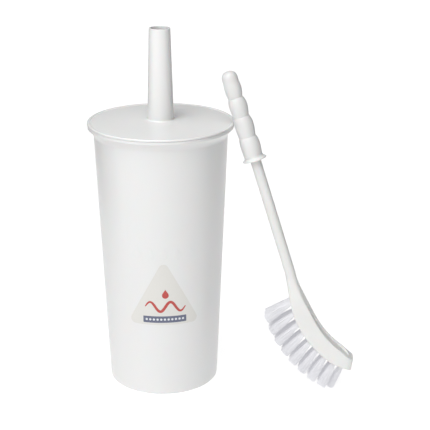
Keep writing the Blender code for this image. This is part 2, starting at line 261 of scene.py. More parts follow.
def moulded_skin():
    """Skin of a moulded plastic: cloudy colour, uneven gloss, and a fine orange peel."""
    group, given, sink = effect(
        "moulded_skin",
        [
            ("Place", "Vector", (0, 0, 0)),
            ("Colour", "Color", (0.8, 0.8, 0.8, 1)),
            ("Cloud", "Color", (0.75, 0.75, 0.74, 1)),
            ("Cloud Scale", "Float", 30.0),
            ("Peel Scale", "Float", 900.0),
            ("Gloss Low", "Float", 0.25),
            ("Gloss High", "Float", 0.35),
        ],
        [("Colour", "Color"), ("Roughness", "Float"), ("Height", "Float")],
    )
    place = given["Place"]
    cloud = noise(group, place, given["Cloud Scale"], detail=3.0, place=(-600, 300))
    amount = spread(group, cloud, -0.2, 1.0, (-400, 300))
    rub = noise(group, place, scale=140.0, detail=4.0, place=(-600, 0))
    colour = mixed(group, given["Colour"], given["Cloud"], amount, (-100, 300))
    roughness = spread(group, rub, given["Gloss Low"], given["Gloss High"], (-100, 0))
    peel = noise(group, place, given["Peel Scale"], detail=2.0, place=(-600, -300))
    feed(group, sink, {"Colour": colour, "Roughness": roughness, "Height": peel})
    return group


def handling_marks():
    """Sparse faint scuffs that make a glossy skin duller where they cross it."""
    group, given, sink = effect(
        "handling_marks",
        [("Place", "Vector", (0, 0, 0)), ("Roughness", "Float", 0.3), ("Dulling", "Float", 0.15)],
        [("Roughness", "Float")],
    )
    drawn_out = stretched(
        group, given["Place"], scale=(400.0, 60.0, 900.0), turn=(0.4, 0.9, 0.3), place=(-700, -200)
    )
    lines = noise(group, drawn_out, scale=1.0, detail=2.0, place=(-500, -200))
    sparse = ramped(group, lines, 0.62, 0.72, (-300, -200))
    scaled = node(group, "ShaderNodeMath", (-100, -200), operation="MULTIPLY")
    feed(group, scaled, {0: sparse, 1: given["Dulling"]})
    total = node(group, "ShaderNodeMath", (100, 0), operation="ADD")
    feed(group, total, {0: given["Roughness"], 1: scaled.outputs[0]})
    feed(group, sink, {"Roughness": total.outputs[0]})
    return group


def fine_flecks():
    """Paper or ink broken by fine specks, which are also a little rougher and proud."""
    group, given, sink = effect(
        "fine_flecks",
        [
            ("Place", "Vector", (0, 0, 0)),
            ("Colour", "Color", (0.8, 0.8, 0.8, 1)),
            ("Speck", "Color", (0.7, 0.7, 0.7, 1)),
            ("Speck Scale", "Float", 1600.0),
            ("Gloss Low", "Float", 0.35),
            ("Gloss High", "Float", 0.45),
        ],
        [("Colour", "Color"), ("Roughness", "Float"), ("Height", "Float")],
    )
    flecks = noise(group, given["Place"], given["Speck Scale"], detail=3.0, place=(-600, 0))
    sharp = ramped(group, flecks, 0.5, 0.62, (-400, 200))
    colour = mixed(group, given["Colour"], given["Speck"], sharp, (-100, 200))
    roughness = spread(group, flecks, given["Gloss Low"], given["Gloss High"], (-100, 0))
    feed(group, sink, {"Colour": colour, "Roughness": roughness, "Height": flecks})
    return group


SKIN = moulded_skin()
MARKS = handling_marks()
FLECKS = fine_flecks()
PLASTIC_IOR = 1.49
NYLON_IOR = 1.53
SCUFF_DULLING = 0.02
PRINT_GLOSS_RANGE = 0.06
FINE_GRAIN = 0.02 * MM


def finish_of(name):
    """A new material: its tree, its Principled shader, and its object coordinates."""
    made = bpy.data.materials.new(name)
    made.use_nodes = True
    shader = made.node_tree.nodes["Principled BSDF"]
    place = node(made.node_tree, "ShaderNodeTexCoord", (-1400, 0)).outputs["Object"]
    return made, made.node_tree, shader, place


def bumped(tree, shader, height, distance, strength):
    bump = node(tree, "ShaderNodeBump", (-200, -400))
    feed(tree, bump, {"Height": height, "Distance": distance, "Strength": strength})
    feed(tree, shader, {"Normal": bump.outputs["Normal"]})


def moulded(name, colour, cloud, gloss, cloud_scale, peel_scale, peel, glow_depth):
    """A moulded plastic from the skin and the handling marks."""
    made, tree, shader, place = finish_of(name)
    skin = node(tree, "ShaderNodeGroup", (-1000, 0), node_tree=SKIN)
    skin_inputs = {
        "Place": place,
        "Colour": (*colour, 1),
        "Cloud": (*cloud, 1),
        "Cloud Scale": cloud_scale,
        "Peel Scale": peel_scale,
        "Gloss Low": gloss[0],
        "Gloss High": gloss[1],
    }
    feed(tree, skin, skin_inputs)
    marks = node(tree, "ShaderNodeGroup", (-700, 0), node_tree=MARKS)
    rough = skin.outputs["Roughness"]
    feed(tree, marks, {"Place": place, "Roughness": rough, "Dulling": SCUFF_DULLING})
    shader_inputs = {
        "Base Color": skin.outputs["Colour"],
        "Roughness": marks.outputs["Roughness"],
        "IOR": PLASTIC_IOR,
        "Subsurface Weight": 0.12,
        "Subsurface Scale": glow_depth,
    }
    feed(tree, shader, shader_inputs)
    bumped(tree, shader, skin.outputs["Height"], distance=peel, strength=0.5)
    return made


def bristle_finish():
    """Clear-white nylon filament, a little different in tone from strand to strand, with a painted
    glow that lifts the shade between the tufts.
    """
    made, tree, shader, place = finish_of("bristle_nylon")
    strands = noise(tree, place, scale=900.0, detail=1.0, place=(-1000, 200))
    shader_inputs = {
        "Base Color": mixed(
            tree, (0.67, 0.67, 0.685, 1), (0.73, 0.73, 0.745, 1), strands, (-500, 200)
        ),
        "Roughness": spread(tree, strands, 0.28, 0.42, (-500, -100)),
        "Transmission Weight": 0.05,
        "IOR": NYLON_IOR,
        # Painted glow: this emission lifts the shade that falls between and inside the tufts.
        "Emission Color": (0.95, 0.95, 1.0, 1),
        "Emission Strength": 0.15,
    }
    feed(tree, shader, shader_inputs)
    return made


def metal_finish():
    """Stamped metal with fine draw lines."""
    made, tree, shader, place = finish_of("anchor_metal")
    drawn_out = stretched(
        tree, place, scale=(400.0, 4000.0, 4000.0), turn=(0, 0, 0), place=(-1200, 0)
    )
    lines = noise(tree, drawn_out, scale=1.0, detail=3.0, place=(-1000, 0))
    shader_inputs = {
        "Base Color": mixed(tree, (0.52, 0.50, 0.45, 1), (0.66, 0.64, 0.58, 1), lines, (-500, 200)),
        "Roughness": spread(tree, lines, 0.25, 0.45, (-500, -100)),
        "Metallic": 1.0,
    }
    feed(tree, shader, shader_inputs)
    bumped(tree, shader, lines, distance=FINE_GRAIN, strength=0.4)
    return made


def printed(name, colour, speck, roughness):
    """Paper film or ink with fine specks in it."""
    made, tree, shader, place = finish_of(name)
    flecks = node(tree, "ShaderNodeGroup", (-700, 0), node_tree=FLECKS)
    fleck_inputs = {
        "Place": place,
        "Colour": (*colour, 1),
        "Speck": (*speck, 1),
        "Gloss Low": roughness - PRINT_GLOSS_RANGE,
        "Gloss High": roughness + PRINT_GLOSS_RANGE,
    }
    feed(tree, flecks, fleck_inputs)
    rough = flecks.outputs["Roughness"]
    feed(tree, shader, {"Base Color": flecks.outputs["Colour"], "Roughness": rough})
    bumped(tree, shader, flecks.outputs["Height"], distance=FINE_GRAIN, strength=0.3)
    return made


CANISTER_PLASTIC = moulded(
    "canister_plastic",
    colour=(0.75, 0.75, 0.747),
    cloud=(0.74, 0.74, 0.736),
    gloss=(0.27, 0.32),
    cloud_scale=18.0,
    peel_scale=260.0,
    peel=0.01 * MM,
    glow_depth=2 * MM,
)
LID_PLASTIC = moulded(
    "lid_plastic",
    colour=(0.81, 0.81, 0.805),
    cloud=(0.80, 0.80, 0.795),
    gloss=(0.17, 0.20),
    cloud_scale=20.0,
    peel_scale=220.0,
    peel=0.01 * MM,
    glow_depth=2 * MM,
)
GRIP_PLASTIC = moulded(
    "grip_plastic",
    colour=(0.75, 0.75, 0.743),
    cloud=(0.735, 0.735, 0.727),
    gloss=(0.30, 0.37),
    cloud_scale=60.0,
    peel_scale=900.0,
    peel=0.02 * MM,
    glow_depth=1.5 * MM,
)
WHITE_MOULDING = moulded(
    "white_moulding",
    colour=(0.75, 0.75, 0.737),
    cloud=(0.725, 0.725, 0.71),
    gloss=(0.36, 0.44),
    cloud_scale=60.0,
    peel_scale=1100.0,
    peel=0.03 * MM,
    glow_depth=1.2 * MM,
)
BRISTLE = bristle_finish()
ANCHOR_METAL = metal_finish()
LABEL_FILM = printed(
    "label_film", colour=(0.69, 0.68, 0.65), speck=(0.672, 0.662, 0.63), roughness=0.42
)
RED_INK = printed(
    "label_red_ink", colour=(0.46, 0.058, 0.05), speck=(0.52, 0.09, 0.08), roughness=0.4
)
SLATE_INK = printed(
    "label_slate_ink", colour=(0.115, 0.13, 0.20), speck=(0.15, 0.165, 0.235), roughness=0.4
)
WHITE_INK = printed(
    "label_white_ink", colour=(0.72, 0.73, 0.76), speck=(0.66, 0.67, 0.70), roughness=0.45
)


def ready(piece, finish, body, slot, *nodes):
    """Gives the piece its finish and the body it rides on, and hides the nodes it stands for. The slot
    is not used.
    """
    piece.data.materials.clear()
    piece.data.materials.append(finish)
    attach(piece, body)
    if nodes:
        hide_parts(*nodes)


# Canister: a thin tapered wall that flares under its brim, on a base with a foot ring

BASE_RADIUS = 56.1 * MM
BASE_CORNER = 3.5 * MM
FOOT_RADIUS = 45 * MM
FOOT_RECESS = 0.7 * MM
TAPER = 0.0427
WALL = 1.7 * MM
FLOOR = 2.2 * MM
FLOOR_CORNER = 2.5 * MM
FLOOR_RING = 30 * MM
SIDE_RINGS = [z * MM for z in (20, 45, 75, 105, 135, 165, 195, 225, 250)]
COVE_FOOT = 262.6 * MM
COVE_CENTRE = (83.47 * MM, 257.98 * MM)
COVE_RADIUS = 16.9 * MM
RIM_RADIUS = 73.3 * MM
RIM_FOOT = 271.5 * MM
RIM_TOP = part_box("canister")[1].z
RIM_ROUND = 0.7 * MM
RIM_INNER_ROUND = 0.4 * MM
GATE_MARK = ((0, 0.3), (2.0, 0.3), (2.4, 0.5), (2.6, 1.0), (0, 1.0))
ROUND = 144


def wall_radius(z):
    return BASE_RADIUS + TAPER * z


def cove(offset):
    """The concave sweep from the wall out to the brim, set outwards or inwards by offset."""
    return arc(*COVE_CENTRE, COVE_RADIUS + offset, 162, 130, 14)


def foot_profile():
    """The underside, from the middle of the recess to the foot ring, and the corner to the wall."""
    points = [(0, FOOT_RECESS), (FOOT_RADIUS - 6 * MM, FOOT_RECESS)]
    points += [(FOOT_RADIUS - 1.2 * MM, FOOT_RECESS)]
    points += [(FOOT_RADIUS - 0.5 * MM, FOOT_RECESS - 0.15 * MM)]
    points += [(FOOT_RADIUS, 0.1 * MM), (FOOT_RADIUS + 0.3 * MM, 0)]
    corner_r = wall_radius(BASE_CORNER) - BASE_CORNER
    return points + arc(corner_r, BASE_CORNER, BASE_CORNER, -90, 0, 10)


def canister_profile():
    """The outline of the wall, from the underside up, over the brim and down to the floor inside."""
    points = foot_profile()
    points += [(wall_radius(z), z) for z in (*SIDE_RINGS, COVE_FOOT)]
    points += cove(0)
    points += [(RIM_RADIUS - 0.15 * MM, RIM_FOOT - 0.35 * MM), (RIM_RADIUS, RIM_FOOT)]
    points += arc(RIM_RADIUS - RIM_ROUND, RIM_TOP - RIM_ROUND, RIM_ROUND, 0, 90, 8)
    inner = RIM_RADIUS - WALL
    points += arc(inner + RIM_INNER_ROUND, RIM_TOP - RIM_INNER_ROUND, RIM_INNER_ROUND, 90, 180, 7)
    points += reversed(cove(WALL))
    points += [(wall_radius(z) - WALL, z) for z in reversed(SIDE_RINGS)]
    corner_r = wall_radius(FLOOR) - WALL - FLOOR_CORNER
    points += arc(corner_r, FLOOR + FLOOR_CORNER, FLOOR_CORNER, 0, -90, 8)
    return points + [(FLOOR_RING, FLOOR), (0, FLOOR)]


def gate_mark():
    """The small round stub that the mould's gate leaves in the middle of the base."""
    return turned("gate_mark", [(r * MM, z * MM) for r, z in GATE_MARK], steps=24)


def build_canister():
    shell = turned("canister_shell", canister_profile(), ROUND)
    whole = joined("canister_shell", [shell, gate_mark()])
    ready(whole, CANISTER_PLASTIC, "holder", "canister_plastic", "canister")


# Films and raised shapes that lie on the canister's wall

LABEL_AZIMUTH = math.radians(-87)
LABEL_HALF_WIDTH = 35 * MM
LABEL_LOW = 80 * MM
LABEL_HIGH = 146 * MM
LABEL_CORNER = 5 * MM
# Where each layer of the label starts and ends, measured outwards from the wall.
FILM_LAYER = (0.01 * MM, 0.16 * MM)
INK_LAYER = (0.15 * MM, 0.19 * MM)
DOT_LAYER = (0.18 * MM, 0.21 * MM)
FINE_STRIP = 1 * MM
WAVE_MIDDLE = 1.5 * MM
BAR_MIDDLE = 0.8 * MM
DOTS = 11
RAISED_DROPS = 5
RAISED_HEIGHT = 157 * MM
# (scale, lift in mm) of each ring of a raised drop, from inside the wall up to its flat top.
RAISED_RINGS = ((1, -0.4), (1, 0.0), (0.93, 0.08), (0.84, 0.13), (0.7, 0.17), (0.45, 0.19))


def at_wall(x, z, lift):
    """The point on the wall, x across from the label's middle, lifted off the surface."""
    angle = LABEL_AZIMUTH + x / wall_radius(z)
    radius = wall_radius(z) + lift
    return Vector((radius * math.cos(angle), radius * math.sin(angle), z))


def on_wall(name, outline, below, above, strip=2 * MM):
    """A flat shape of (across, up) points, cut into strips and wrapped onto the wall.

    It reaches from below to above, both measured outwards from the wall's surface.
    """
    piece = drawn(name, [(x, 0, z) for x, z in [*outline, outline[0]]])
    bpy.ops.mesh.select_all(action="SELECT")
    bpy.ops.mesh.remove_doubles(threshold=1e-7)
    bpy.ops.mesh.edge_face_add()
    reach = max(abs(x) for x, _ in outline)
    for i in range(-int(reach / strip), int(reach / strip) + 1):
        bpy.ops.mesh.select_all(action="SELECT")
        bpy.ops.mesh.bisect(plane_co=(i * strip, 0, 0), plane_no=(1, 0, 0))
    bpy.ops.mesh.select_all(action="SELECT")
    bpy.ops.mesh.extrude_region_move(TRANSFORM_OT_translate={"value": (0, -1 * MM, 0)})
    close_up()
    leave()
    for vert in piece.data.vertices:
        x, depth, z = vert.co
        vert.co = at_wall(x, z, above if depth < -0.5 * MM else below)
    edit()
    close_up()
    leave()
    return piece


def moved(outline, across):
    return [(x + across, z) for x, z in outline]


def rounded_triangle(half_width, low, high, corner, steps=12):
    reach = half_width - corner
    side = math.pi / 2 - math.atan2(high - low - 2 * corner, reach)
    centres = (
        ((reach, low + corner), -math.pi / 2, side),
        ((0, high - corner), side, math.pi - side),
        ((-reach, low + corner), math.pi - side, 1.5 * math.pi),
    )
    points = []
    for (x, z), begin, end in centres:
        for i in range(steps + 1):
            a = begin + (end - begin) * i / steps
            points.append((x + corner * math.cos(a), z + corner * math.sin(a)))
    return points


def drop_outline(x, z, size, steps=20, side_steps=9):
    """A drop: round below, drawn up to a point. z is the middle of its round part."""
    tip = 1.9 * size
    side = []
    for i in range(1, side_steps):
        s = i / side_steps
        width = size * math.cos(s * math.pi / 2) ** 1.25 * (1 - 0.12 * s)
        side.append((width, z + tip * s))
    points = []
    for i in range(steps + 1):
        a = math.pi + math.pi * i / steps
        points.append((x + size * math.cos(a), z + size * math.sin(a)))
    points += [(x + width, up) for width, up in side]
    points.append((x, z + tip))
    return points + [(x - width, up) for width, up in reversed(side)]


def wave_outline(half_width, middle, height, crests, stroke, steps=64):
    """A stroke along a sine wave, thick in its middle and thin at its ends."""
    upper = []
    lower = []
    for i in range(steps + 1):
        s = i / steps
        x = half_width * (2 * s - 1)
        phase = 2 * math.pi * crests * s
        z = middle + height * math.sin(phase)
        slope = height * math.cos(phase) * 2 * math.pi * crests / (2 * half_width)
        normal = Vector((-slope, 1)).normalized()
        half = stroke / 2 * (0.25 + 0.75 * math.sin(math.pi * s) ** 0.5)
        upper.append((x + normal.x * half, z + normal.y * half))
        lower.append((x - normal.x * half, z - normal.y * half))
    return lower + upper[::-1]


def bar_outline(half_width, low, high, corner=0.6 * MM, steps=3):
    points = []
    corners = ((1, low, -90), (1, high, 0), (-1, high, 90), (-1, low, 180))
    for side, z, begin in corners:
        cx = side * (half_width - corner)
        cz = z + corner if z == low else z - corner
        for i in range(steps + 1):
            a = math.radians(begin + 90 * i / steps)
            points.append((cx + corner * math.cos(a), cz + corner * math.sin(a)))
    return points


def build_label_film():
    outline = rounded_triangle(LABEL_HALF_WIDTH, LABEL_LOW, LABEL_HIGH, LABEL_CORNER)
    film = on_wall("label_film", outline, *FILM_LAYER)
    ready(film, LABEL_FILM, "holder", "label_film", "label")


def build_red_print():
    """A wave with a small drop over its middle."""
    wave = wave_outline(
        half_width=20.5 * MM, middle=100 * MM, height=5.2 * MM, crests=2, stroke=3.0 * MM
    )
    drop = drop_outline(WAVE_MIDDLE, z=112.5 * MM, size=3.4 * MM)
    pieces = [
        on_wall("label_wave", moved(wave, WAVE_MIDDLE), *INK_LAYER, FINE_STRIP),
        on_wall("label_drop", drop, *INK_LAYER, FINE_STRIP),
    ]
    ready(joined("label_red_print", pieces), RED_INK, "holder", "label_film")


def build_bar():
    outline = bar_outline(half_width=22 * MM, low=82.4 * MM, high=89.6 * MM)
    bar = on_wall("label_bar", moved(outline, BAR_MIDDLE), *INK_LAYER)
    ready(bar, SLATE_INK, "holder", "label_film")


def build_dots():
    """A row of small rounded squares along the bar."""
    outline = bar_outline(
        half_width=1.15 * MM, low=84.8 * MM, high=87.2 * MM, corner=1.1 * MM, steps=4
    )
    dots = []
    for i in range(DOTS):
        across = BAR_MIDDLE + (i - DOTS // 2) * 3.7 * MM
        dots.append(on_wall(f"dot_{i}", moved(outline, across), *DOT_LAYER, FINE_STRIP))
    ready(joined("label_dots", dots), WHITE_INK, "holder", "label_film")


def build_raised_drops():
    """A row of faint drops moulded above the label."""
    outline = drop_outline(0, z=-1.5 * MM, size=4.3 * MM)
    raised = []
    for i in range(RAISED_DROPS):
        across = (i - RAISED_DROPS // 2) * 13.5 * MM
        rings = []
        for scale, lift in RAISED_RINGS:
            places = [(across + x * scale, RAISED_HEIGHT + z * scale) for x, z in outline]
            rings.append([at_wall(x, z, lift * MM) for x, z in places])
        raised.append(lofted(f"raised_{i}", rings))
    drops = joined("raised_drops", raised)
    smooth(drops, angle=60)
    ready(drops, CANISTER_PLASTIC, "holder", "canister_plastic")


# Lid: a domed plate with a bead round its edge, a locating skirt below, and a tall open tube

LID_RADIUS = 73.8 * MM
LID_UNDERSIDE = RIM_TOP + 0.3 * MM
LID_EDGE_ROUND = 0.35 * MM
PLATE = 1.7 * MM
PLATE_RINGS = [r * MM for r in (56, 49, 42, 35, 28, 22)]
BEAD_TOP = 276.65 * MM
BEAD_ROUND = 1.1 * MM
BEAD_INNER_ROUND = 0.7 * MM
# (inset from the lid's edge, depth under the dome's edge) across the fine groove, in mm.
GROOVE = ((4.1, 0.14), (3.7, 0.18), (3.3, 0.08))
SKIRT_RADIUS = 65.8 * MM
SKIRT_DEPTH = 8 * MM
SKIRT_WALL = 1.5 * MM
SKIRT_FILLET = 0.8 * MM
SKIRT_ROUND = 0.7 * MM
SKIRT_INNER_ROUND = 0.4 * MM
TUBE_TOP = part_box("lid")[1].z
TUBE_BASE_RADIUS = 13.4 * MM
TUBE_TOP_RADIUS = 10.7 * MM
TUBE_WALL = 1.7 * MM
TUBE_FILLET = 1.8 * MM
TUBE_LIP = 0.6 * MM
TUBE_RINGS = [z * MM for z in (366, 352, 336, 320, 304, 290)]
BORE_RINGS = [z * MM for z in (290, 320, 350)]
DOME_EDGE = 276.15 * MM
DOME_RISE = 2.3 * MM
DOME_FROM = TUBE_BASE_RADIUS + TUBE_FILLET
DOME_TO = LID_RADIUS - 4.4 * MM
DOME_STEPS = 14


def tube_radius(z):
    narrowing = TUBE_BASE_RADIUS - TUBE_TOP_RADIUS
    return TUBE_TOP_RADIUS + narrowing * (TUBE_TOP - z) / (TUBE_TOP - LID_UNDERSIDE)


def dome(r):
    """The height of the lid's upper face at r from its middle."""
    x = max(r - DOME_FROM, 0) / (DOME_TO - DOME_FROM)
    return DOME_EDGE + DOME_RISE * (1 - x * x)


def tube_profile():
    """Over the tube's lip, down its outside, and round the fillet at its foot."""
    lip_z = TUBE_TOP - TUBE_LIP
    points = arc(TUBE_TOP_RADIUS - TUBE_WALL + TUBE_LIP, lip_z, TUBE_LIP, 180, 90, 7)
    points += arc(TUBE_TOP_RADIUS - TUBE_LIP, lip_z, TUBE_LIP, 90, 0, 7)
    points += [(tube_radius(z), z) for z in TUBE_RINGS]
    fillet_z = dome(0) + TUBE_FILLET
    return points + arc(tube_radius(fillet_z) + TUBE_FILLET, fillet_z, TUBE_FILLET, 180, 268, 10)


def plate_profile():
    """Out over the dome, the fine groove and the bead, and round the lid's edge."""
    points = []
    for i in range(1, DOME_STEPS + 1):
        r = DOME_FROM + (DOME_TO - DOME_FROM) * i / DOME_STEPS
        points.append((r, dome(r)))
    points += [(LID_RADIUS - inset * MM, DOME_EDGE - depth * MM) for inset, depth in GROOVE]
    bead_z = BEAD_TOP - BEAD_INNER_ROUND
    points += arc(LID_RADIUS - 2.3 * MM, bead_z, BEAD_INNER_ROUND, 150, 90, 7)
    points += arc(LID_RADIUS - BEAD_ROUND, BEAD_TOP - BEAD_ROUND, BEAD_ROUND, 90, 0, 9)
    edge_z = LID_UNDERSIDE + LID_EDGE_ROUND
    return points + arc(LID_RADIUS - LID_EDGE_ROUND, edge_z, LID_EDGE_ROUND, 0, -90, 7)


def skirt_profile():
    """Down the skirt's outside and up its inside to the fillet under the plate."""
    foot = LID_UNDERSIDE - SKIRT_DEPTH
    inner = SKIRT_RADIUS - SKIRT_WALL
    fillet_z = LID_UNDERSIDE - SKIRT_FILLET
    points = arc(SKIRT_RADIUS + SKIRT_FILLET, fillet_z, SKIRT_FILLET, 90, 180, 7)
    points += arc(SKIRT_RADIUS - SKIRT_ROUND, foot + SKIRT_ROUND, SKIRT_ROUND, 0, -90, 7)
    inner_z = foot + SKIRT_INNER_ROUND
    points += arc(inner + SKIRT_INNER_ROUND, inner_z, SKIRT_INNER_ROUND, -90, -180, 7)
    under_round = 1 * MM
    under = dome(inner) - PLATE
    return points + arc(inner - under_round, under - under_round, under_round, 0, 90, 7)


def bore_profile():
    """In under the plate and up the tube's bore."""
    points = [(r, dome(r) - PLATE) for r in (*PLATE_RINGS, DOME_FROM)]
    points.append((tube_radius(dome(0)) - TUBE_WALL + 1.4 * MM, dome(0) - PLATE))
    heights = (dome(0) - 0.6 * MM, *BORE_RINGS, TUBE_TOP - 2 * MM)
    return points + [(tube_radius(z) - TUBE_WALL, z) for z in heights]


def build_lid():
    profile = tube_profile() + plate_profile() + skirt_profile() + bore_profile()
    closed = profile + [profile[0]]
    ready(turned("lid_and_tube", closed, ROUND), LID_PLASTIC, "lid", "lid_plastic", "lid")


# Brush: its own frame has the grip's free end at the origin, -Z down the stem, +X at the head's back

GRIP_END = Vector((67.0, -7.6, 328.6)) * MM
LEAN_AZIMUTH = math.radians(-16.6)
LEAN = math.radians(-18.0)
ROLL = math.radians(12.5)
BRUSH = (
    Matrix.Translation(GRIP_END)
    @ Matrix.Rotation(LEAN_AZIMUTH, 4, "Z")
    @ Matrix.Rotation(LEAN, 4, "Y")
    @ Matrix.Rotation(ROLL, 4, "Z")
)

GRIP_SHIFT = -0.5 * MM
GRIP_DOME = 9 * MM
GRIP_DOME_RADIUS = 8.1 * MM
GRIP_TIP_RADIUS = 0.5 * MM
GRIP_ROUND = 56
GRIP_SWELLS = (
    # length, radius at the swell, radius at the waist that ends it
    (18.5 * MM, 8.6 * MM, 7.2 * MM),
    (19.5 * MM, 9.25 * MM, 7.9 * MM),
    (21.3 * MM, 9.6 * MM, 8.5 * MM),
    (20.0 * MM, 10.1 * MM, 9.4 * MM),
)
COLLAR_LENGTH = 4.3 * MM
COLLAR_RADIUS = 12.3 * MM
COLLAR_EDGE = 0.6 * MM
TANG_RADIUS = 4.2 * MM
TANG_END = 24 * MM
GAP = 0.3 * MM


def grip_stations():
    """(radius, depth, shift) of each ring, from the domed end to the collar and back up the bore."""
    stations = []
    for i in range(1, 13):
        a = math.pi / 2 * i / 12
        radius = GRIP_DOME_RADIUS * math.sin(a) ** 0.8
        stations.append((radius, GRIP_DOME * (1 - math.cos(a) ** 0.8), GRIP_SHIFT))
    depth = GRIP_DOME
    waist = GRIP_DOME_RADIUS
    for length, swell, next_waist in GRIP_SWELLS:
        for i in range(1, 15):
            x = (1 - math.cos(math.pi * i / 14)) / 2
            straight = waist + (next_waist - waist) * x
            bulge = math.sin(math.pi * x**0.85) ** 0.85
            cut = 1 - bulge
            if depth == GRIP_DOME:
                bulge *= blend(x / 0.4)
                cut *= blend((x - 0.5) / 0.3)
            # The waists are cut deeper at the back, where the fingers go round.
            shift = GRIP_SHIFT - 0.4 * MM * cut
            stations.append((straight + (swell - straight) * bulge, depth + length * x, shift))
        depth += length
        waist = next_waist
    end = depth + COLLAR_LENGTH
    flare = COLLAR_RADIUS - 0.5 * MM - waist
    for i in range(1, 9):
        x = i / 8
        stations.append((waist + flare * x**2.2, depth + (COLLAR_LENGTH - 1.3 * MM) * x, GRIP_SHIFT))
    for angle in (60, 30, 0, -30, -60, -90):
        a = math.radians(angle)
        radius = COLLAR_RADIUS - COLLAR_EDGE + COLLAR_EDGE * math.cos(a)
        stations.append((radius, end - COLLAR_EDGE - COLLAR_EDGE * math.sin(a), GRIP_SHIFT))
    stations.append((COLLAR_RADIUS - 2.2 * MM, end, GRIP_SHIFT))
    stations.append((COLLAR_RADIUS - 2.7 * MM, end - 0.5 * MM, GRIP_SHIFT))
    bore = TANG_RADIUS + GAP
    stations.append((bore + 2.2 * MM, end - 0.5 * MM, 0))
    stations.append((bore + 1.8 * MM, end, 0))
    stations.append((bore + 0.3 * MM, end, 0))
    for depth in (end - 0.3 * MM, 60 * MM, TANG_END - GAP):
        stations.append((bore, depth, 0))
    return stations


def build_grip():
    angles = [2 * math.pi * i / GRIP_ROUND for i in range(GRIP_ROUND)]
    rings = []
    for radius, depth, shift in [(GRIP_TIP_RADIUS, 0, GRIP_SHIFT), *grip_stations()]:
        ring = [(shift + radius * math.cos(a), radius * math.sin(a), -depth) for a in angles]
        rings.append([BRUSH @ Vector(point) for point in ring])
    ready(lofted("finger_grip", rings), GRIP_PLASTIC, "brush", "grip_plastic", "brush_grip")


STEM_HALF_THICK = 5.3 * MM
STEM_HALF_WIDTH = 6.0 * MM
STEM_CORNER = 4.6 * MM
HEAD_NODES = (
    Vector((0, 215)) * MM,
    Vector((-4.2, 263.5)) * MM,
    Vector((4, 301)) * MM,
    Vector((33.9, 326)) * MM,
)
HEAD_END_TURN = math.radians(13)
HEAD_HALF_WIDTH = 12 * MM
HEAD_CORNER = 1.1 * MM
HEAD_END_HALF_WIDTH = 7.5 * MM
HEAD_HALF_THICK = ((0.0, STEM_HALF_THICK), (0.4, 8.9 * MM), (0.8, 8.5 * MM), (1.0, 6.1 * MM))
POCKET_FROM = 0.3
POCKET_TO = 0.945
POCKET_DEPTH = 2.4 * MM
POCKET_RIM = 1.6 * MM
# Half the width that the hollow's outline keeps where it has no depth.
CLOSED = 0.7 * MM


def head_matrix(t):
    """The head's section plane at t from 0 to 1: X to its back, Y across, -Z along it."""
    s = 1 - t
    weights = (s**3, 3 * s * s * t, 3 * s * t * t, t**3)
    point = sum((w * p for w, p in zip(weights, HEAD_NODES)), Vector((0, 0)))
    slopes = (s * s, 2 * s * t, t * t)
    sides = zip(slopes, HEAD_NODES, HEAD_NODES[1:])
    along = sum((w * (b - a) for w, a, b in sides), Vector((0, 0)))
    along.normalize()
    down = Vector((along.x, 0, -along.y))
    back = Vector((0, 1, 0)).cross(-down)
    turn = Matrix((back, (0, 1, 0), -down)).transposed().to_4x4()
    lean = Matrix.Rotation(-HEAD_END_TURN * blend((t - 0.86) / 0.14), 4, "Y")
    return Matrix.Translation((point.x, 0, -point.y)) @ turn @ lean


def head_half_width(t):
    widen = STEM_HALF_WIDTH + (HEAD_HALF_WIDTH - STEM_HALF_WIDTH) * blend(t / 0.22)
    x = max(t - 0.92, 0) / 0.08
    return HEAD_END_HALF_WIDTH + (widen - HEAD_END_HALF_WIDTH) * math.sqrt(max(1 - x * x, 0))


def section(half_x, half_y, corner, hollow_half, hollow_depth):
    """A rounded rectangle of (x, y) points with a hollow in its +x side."""
    fillet = 0.5 * MM
    edge = 0.3 * MM
    low = half_x - hollow_depth
    ratio = hollow_depth / POCKET_DEPTH
    wall = [
        (low, 0.0),
        (low, hollow_half - fillet),
        (low + 0.15 * fillet * ratio, hollow_half - 0.4 * fillet),
        (low + fillet * ratio, hollow_half),
        (half_x - edge * ratio, hollow_half + 0.15 * MM),
        (half_x - 0.1 * edge * ratio, hollow_half + 0.2 * MM + 0.3 * edge),
        (half_x, hollow_half + 0.2 * MM + edge),
    ]
    for i in range(7):
        a = math.pi / 2 * i / 6
        wall.append((half_x - corner + corner * math.cos(a), half_y - corner + corner * math.sin(a)))
    for i in range(7):
        a = math.pi / 2 + math.pi / 2 * i / 6
        wall.append((-half_x + corner + corner * math.cos(a), half_y - corner + corner * math.sin(a)))
    wall.append((-half_x, 0.0))
    return wall + [(x, -y) for x, y in wall[-2:0:-1]]


def hollow_ring(t, x, depth):
    """The section at t, with the hollow's width at x from 0 to 1 along the hollow."""
    corner = STEM_CORNER + (HEAD_CORNER - STEM_CORNER) * blend(t / 0.3)
    half_y = head_half_width(t)
    half_x = eased(HEAD_HALF_THICK, t)
    round_off = math.sqrt(max(1 - abs(2 * x - 1) ** 5, 0.03))
    widest = half_y - corner - 0.6 * MM
    hollow = max(min((half_y - POCKET_RIM) * round_off, widest), CLOSED)
    points = section(half_x, half_y, corner, hollow, depth)
    return [head_matrix(t) @ Vector((a, b, 0)) for a, b in points]


def stem_ring(half_x, half_y, corner, depth):
    points = section(half_x, half_y, corner, CLOSED, 0.0)
    return [Vector((a, b, -depth)) for a, b in points]


